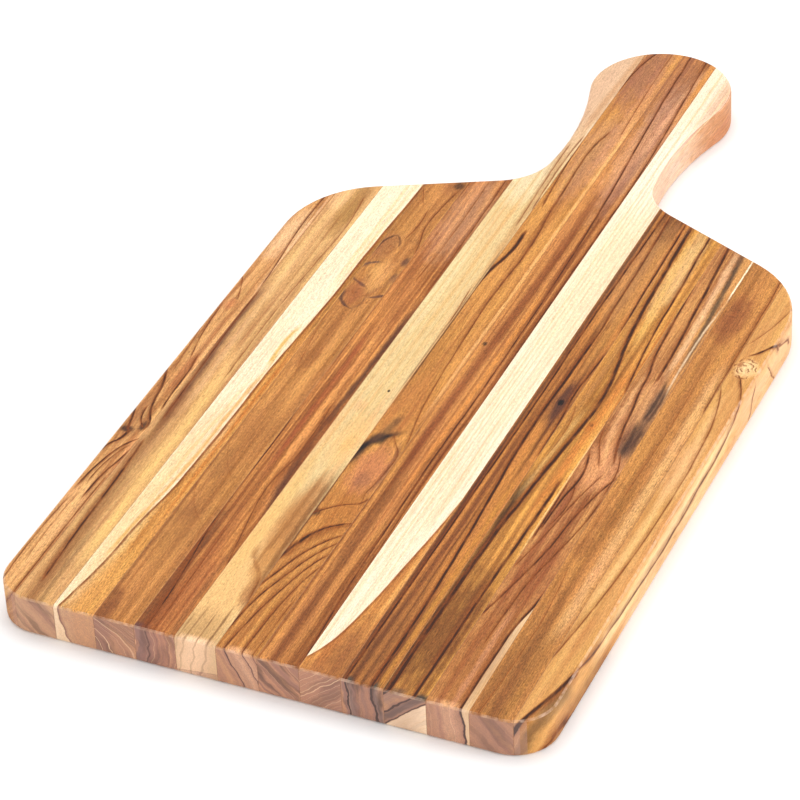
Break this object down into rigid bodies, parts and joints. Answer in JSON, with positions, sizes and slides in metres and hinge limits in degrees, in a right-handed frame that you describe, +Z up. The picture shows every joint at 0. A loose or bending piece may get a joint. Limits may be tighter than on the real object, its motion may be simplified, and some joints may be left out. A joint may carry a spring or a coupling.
{
  "type": "paddle serving board",
  "caption": "Flat rectangular serving board with rounded corners, sloping shoulders and a waisted paddle handle, edge glued from square teak staves.",
  "frame": {"origin": "under the middle of the board, on its underside", "axes": "+Z up out of the serving face, +Y along the board toward the tip of the handle, +X across it to the right"},
  "size_m": [0.254, 0.508, 0.0191],
  "materials": {
    "golden_teak": "sanded and oiled, satin",
    "tan_teak": "sanded and oiled, satin",
    "sapwood": "sanded and oiled, satin",
    "brown_teak": "sanded and oiled, satin",
    "red_brown_teak": "sanded and oiled, satin",
    "yellow_sapwood": "sanded and oiled, satin",
    "orange_teak": "sanded and oiled, satin",
    "striped_teak": "sanded and oiled, satin",
    "glue": "cured wood glue, flush with the wood"
  },
  "bodies": {
    "root": {"stave_01": "golden_teak", "stave_02": "tan_teak", "stave_03": "sapwood", "stave_04": "brown_teak", "stave_05": "red_brown_teak", "stave_06": "yellow_sapwood", "stave_07": "orange_teak", "stave_08": "red_brown_teak", "stave_09": "sapwood", "stave_10": "striped_teak", "stave_11": "golden_teak", "stave_12": "brown_teak", "stave_13": "brown_teak", "stave_14": "tan_teak", "glue_line_01": "glue", "glue_line_02": "glue", "glue_line_03": "glue", "glue_line_04": "glue", "glue_line_05": "glue", "glue_line_06": "glue", "glue_line_07": "glue", "glue_line_08": "glue", "glue_line_09": "glue", "glue_line_10": "glue", "glue_line_11": "glue", "glue_line_12": "glue", "glue_line_13": "glue"}
  },
  "joints": []
}
